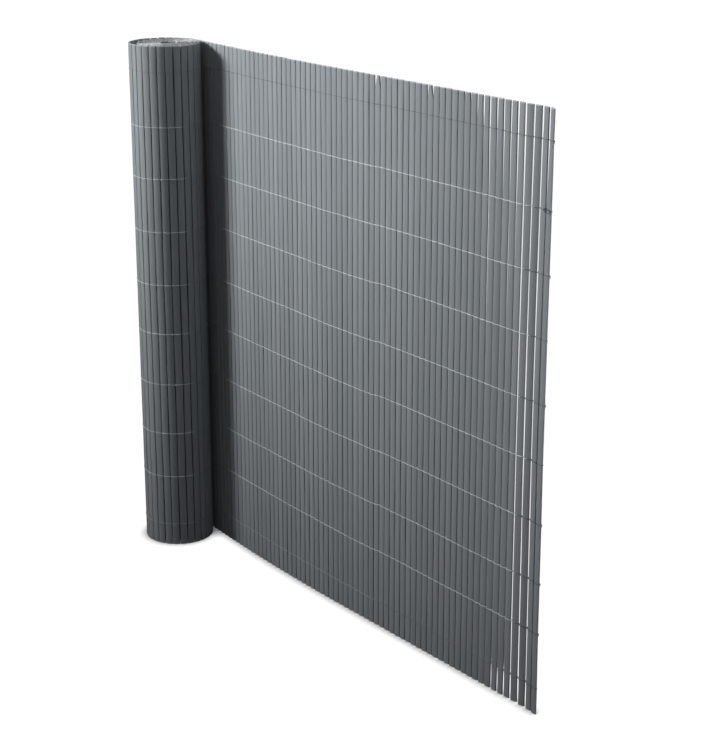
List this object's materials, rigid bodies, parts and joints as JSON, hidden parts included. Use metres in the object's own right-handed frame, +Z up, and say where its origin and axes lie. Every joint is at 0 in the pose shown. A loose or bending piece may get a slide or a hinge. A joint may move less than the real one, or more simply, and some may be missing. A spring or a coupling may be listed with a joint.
{
  "type": "slatted privacy screen roll",
  "caption": "Grey PVC slat screen for a balcony or fence, standing on end, partly unrolled: a roll at one side and an open panel bound by rows of twine",
  "frame": {"origin": "on the floor, under the middle of the box round the whole screen", "axes": "+X along the open panel from the roll to the free end, +Y towards the rear of the panel, away from the side the roll lies on, +Z up along the slats"},
  "size_m": [1.0928, 0.1432, 1],
  "materials": {
    "slat_pvc": "satin grey PVC with faint lengthwise streaks",
    "twine_light": "pale twisted synthetic twine",
    "twine_dark": "dark twisted synthetic twine"
  },
  "bodies": {
    "root": {"panel_slats": "slat_pvc", "free_end_slats": "slat_pvc", "outer_turn_slats": "slat_pvc", "inner_turns": "slat_pvc", "front_twine_01": "twine_dark", "front_twine_02": "twine_light", "front_twine_03": "twine_light", "front_twine_04": "twine_light", "front_twine_05": "twine_light", "front_twine_06": "twine_light", "front_twine_07": "twine_light", "front_twine_08": "twine_light", "front_twine_09": "twine_light", "front_twine_10": "twine_dark", "rear_twine_01": "twine_dark", "rear_twine_02": "twine_light", "rear_twine_03": "twine_light", "rear_twine_04": "twine_light", "rear_twine_05": "twine_light", "rear_twine_06": "twine_light", "rear_twine_07": "twine_light", "rear_twine_08": "twine_light", "rear_twine_09": "twine_light", "rear_twine_10": "twine_dark"}
  },
  "joints": []
}
